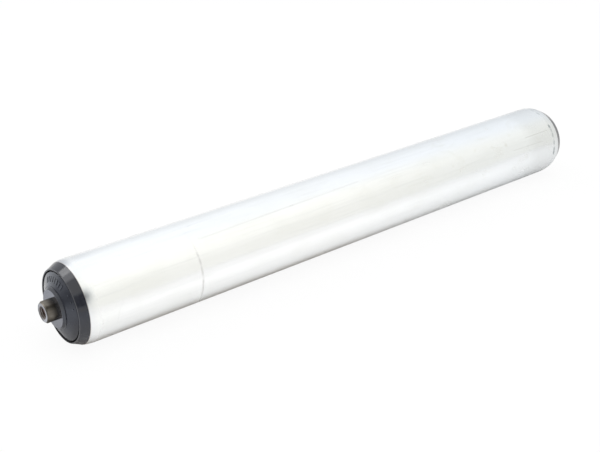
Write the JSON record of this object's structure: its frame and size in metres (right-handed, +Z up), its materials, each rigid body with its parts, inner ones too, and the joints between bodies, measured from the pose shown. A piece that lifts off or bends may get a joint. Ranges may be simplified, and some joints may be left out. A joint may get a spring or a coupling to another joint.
{
  "type": "conveyor roller",
  "caption": "Free-running conveyor roller: a plated steel tube on sealed ball bearings around a fixed hexagonal shaft with tapped ends.",
  "frame": {"origin": "middle of the roller on its axis, midway between the two ends of the shaft", "axes": "+X along the axis from the near end to the far end, +Z up, with flats of the hexagonal shaft facing up and down"},
  "size_m": [0.43, 0.05, 0.05],
  "materials": {
    "zinc_steel": "satin zinc plating",
    "shaft_steel": "drawn bar, dull and slightly browned",
    "black_plastic": "moulded, semi-gloss",
    "grey_plastic": "moulded, satin",
    "bush_plastic": "moulded, natural",
    "spring_steel": "phosphated",
    "bearing_steel": "ground",
    "ball_steel": "polished",
    "shield_rubber": "moulded rubber on a steel core",
    "cage_plastic": "moulded, natural"
  },
  "bodies": {
    "fixed_shaft": {"shaft": "shaft_steel", "near_seal_disc": "grey_plastic", "near_hex_bush": "bush_plastic", "near_retaining_ring": "spring_steel", "near_inner_ring": "bearing_steel", "far_seal_disc": "grey_plastic", "far_hex_bush": "bush_plastic", "far_retaining_ring": "spring_steel", "far_inner_ring": "bearing_steel"},
    "rolling_shell": {"tube": "zinc_steel", "near_bearing_housing": "black_plastic", "near_outer_ring": "bearing_steel", "near_outer_shield": "shield_rubber", "near_inner_shield": "shield_rubber", "far_bearing_housing": "black_plastic", "far_outer_ring": "bearing_steel", "far_outer_shield": "shield_rubber", "far_inner_shield": "shield_rubber"},
    "near_cage": {"near_ball_cage": "cage_plastic"},
    "far_cage": {"far_ball_cage": "cage_plastic"},
    "near_ball_1_body": {"near_ball_1": "ball_steel"},
    "near_ball_2_body": {"near_ball_2": "ball_steel"},
    "near_ball_3_body": {"near_ball_3": "ball_steel"},
    "near_ball_4_body": {"near_ball_4": "ball_steel"},
    "near_ball_5_body": {"near_ball_5": "ball_steel"},
    "near_ball_6_body": {"near_ball_6": "ball_steel"},
    "near_ball_7_body": {"near_ball_7": "ball_steel"},
    "near_ball_8_body": {"near_ball_8": "ball_steel"},
    "near_ball_9_body": {"near_ball_9": "ball_steel"},
    "far_ball_1_body": {"far_ball_1": "ball_steel"},
    "far_ball_2_body": {"far_ball_2": "ball_steel"},
    "far_ball_3_body": {"far_ball_3": "ball_steel"},
    "far_ball_4_body": {"far_ball_4": "ball_steel"},
    "far_ball_5_body": {"far_ball_5": "ball_steel"},
    "far_ball_6_body": {"far_ball_6": "ball_steel"},
    "far_ball_7_body": {"far_ball_7": "ball_steel"},
    "far_ball_8_body": {"far_ball_8": "ball_steel"},
    "far_ball_9_body": {"far_ball_9": "ball_steel"}
  },
  "joints": [
    {"name": "shell_spin", "type": "hinge", "parent": "fixed_shaft", "child": "rolling_shell", "pos_m": [0, 0, 0], "axis": [1, 0, 0], "continuous": true},
    {"name": "near_cage_spin", "type": "hinge", "parent": "fixed_shaft", "child": "near_cage", "pos_m": [-0.1885, 0, 0], "axis": [1, 0, 0], "continuous": true},
    {"name": "near_ball_1_spin", "type": "hinge", "parent": "near_cage", "child": "near_ball_1_body", "pos_m": [-0.1885, 0.01175, 0], "axis": [1, 0, 0], "continuous": true},
    {"name": "near_ball_2_spin", "type": "hinge", "parent": "near_cage", "child": "near_ball_2_body", "pos_m": [-0.1885, 0.009, 0.00755], "axis": [1, 0, 0], "continuous": true},
    {"name": "near_ball_3_spin", "type": "hinge", "parent": "near_cage", "child": "near_ball_3_body", "pos_m": [-0.1885, 0.00204, 0.01157], "axis": [1, 0, 0], "continuous": true},
    {"name": "near_ball_4_spin", "type": "hinge", "parent": "near_cage", "child": "near_ball_4_body", "pos_m": [-0.1885, -0.00588, 0.01018], "axis": [1, 0, 0], "continuous": true},
    {"name": "near_ball_5_spin", "type": "hinge", "parent": "near_cage", "child": "near_ball_5_body", "pos_m": [-0.1885, -0.01104, 0.00402], "axis": [1, 0, 0], "continuous": true},
    {"name": "near_ball_6_spin", "type": "hinge", "parent": "near_cage", "child": "near_ball_6_body", "pos_m": [-0.1885, -0.01104, -0.00402], "axis": [1, 0, 0], "continuous": true},
    {"name": "near_ball_7_spin", "type": "hinge", "parent": "near_cage", "child": "near_ball_7_body", "pos_m": [-0.1885, -0.00588, -0.01018], "axis": [1, 0, 0], "continuous": true},
    {"name": "near_ball_8_spin", "type": "hinge", "parent": "near_cage", "child": "near_ball_8_body", "pos_m": [-0.1885, 0.00204, -0.01157], "axis": [1, 0, 0], "continuous": true},
    {"name": "near_ball_9_spin", "type": "hinge", "parent": "near_cage", "child": "near_ball_9_body", "pos_m": [-0.1885, 0.009, -0.00755], "axis": [1, 0, 0], "continuous": true},
    {"name": "far_cage_spin", "type": "hinge", "parent": "fixed_shaft", "child": "far_cage", "pos_m": [0.1885, 0, 0], "axis": [1, 0, 0], "continuous": true},
    {"name": "far_ball_1_spin", "type": "hinge", "parent": "far_cage", "child": "far_ball_1_body", "pos_m": [0.1885, 0.01175, 0], "axis": [1, 0, 0], "continuous": true},
    {"name": "far_ball_2_spin", "type": "hinge", "parent": "far_cage", "child": "far_ball_2_body", "pos_m": [0.1885, 0.009, 0.00755], "axis": [1, 0, 0], "continuous": true},
    {"name": "far_ball_3_spin", "type": "hinge", "parent": "far_cage", "child": "far_ball_3_body", "pos_m": [0.1885, 0.00204, 0.01157], "axis": [1, 0, 0], "continuous": true},
    {"name": "far_ball_4_spin", "type": "hinge", "parent": "far_cage", "child": "far_ball_4_body", "pos_m": [0.1885, -0.00588, 0.01018], "axis": [1, 0, 0], "continuous": true},
    {"name": "far_ball_5_spin", "type": "hinge", "parent": "far_cage", "child": "far_ball_5_body", "pos_m": [0.1885, -0.01104, 0.00402], "axis": [1, 0, 0], "continuous": true},
    {"name": "far_ball_6_spin", "type": "hinge", "parent": "far_cage", "child": "far_ball_6_body", "pos_m": [0.1885, -0.01104, -0.00402], "axis": [1, 0, 0], "continuous": true},
    {"name": "far_ball_7_spin", "type": "hinge", "parent": "far_cage", "child": "far_ball_7_body", "pos_m": [0.1885, -0.00588, -0.01018], "axis": [1, 0, 0], "continuous": true},
    {"name": "far_ball_8_spin", "type": "hinge", "parent": "far_cage", "child": "far_ball_8_body", "pos_m": [0.1885, 0.00204, -0.01157], "axis": [1, 0, 0], "continuous": true},
    {"name": "far_ball_9_spin", "type": "hinge", "parent": "far_cage", "child": "far_ball_9_body", "pos_m": [0.1885, 0.009, -0.00755], "axis": [1, 0, 0], "continuous": true}
  ],
  "couplings": [
    {"joint": "near_cage_spin", "follows": "shell_spin", "ratio": 0.60132},
    {"joint": "near_ball_1_spin", "follows": "shell_spin", "ratio": 2.3661},
    {"joint": "near_ball_2_spin", "follows": "shell_spin", "ratio": 2.3661},
    {"joint": "near_ball_3_spin", "follows": "shell_spin", "ratio": 2.3661},
    {"joint": "near_ball_4_spin", "follows": "shell_spin", "ratio": 2.3661},
    {"joint": "near_ball_5_spin", "follows": "shell_spin", "ratio": 2.3661},
    {"joint": "near_ball_6_spin", "follows": "shell_spin", "ratio": 2.3661},
    {"joint": "near_ball_7_spin", "follows": "shell_spin", "ratio": 2.3661},
    {"joint": "near_ball_8_spin", "follows": "shell_spin", "ratio": 2.3661},
    {"joint": "near_ball_9_spin", "follows": "shell_spin", "ratio": 2.3661},
    {"joint": "far_cage_spin", "follows": "shell_spin", "ratio": 0.60132},
    {"joint": "far_ball_1_spin", "follows": "shell_spin", "ratio": 2.3661},
    {"joint": "far_ball_2_spin", "follows": "shell_spin", "ratio": 2.3661},
    {"joint": "far_ball_3_spin", "follows": "shell_spin", "ratio": 2.3661},
    {"joint": "far_ball_4_spin", "follows": "shell_spin", "ratio": 2.3661},
    {"joint": "far_ball_5_spin", "follows": "shell_spin", "ratio": 2.3661},
    {"joint": "far_ball_6_spin", "follows": "shell_spin", "ratio": 2.3661},
    {"joint": "far_ball_7_spin", "follows": "shell_spin", "ratio": 2.3661},
    {"joint": "far_ball_8_spin", "follows": "shell_spin", "ratio": 2.3661},
    {"joint": "far_ball_9_spin", "follows": "shell_spin", "ratio": 2.3661}
  ]
}
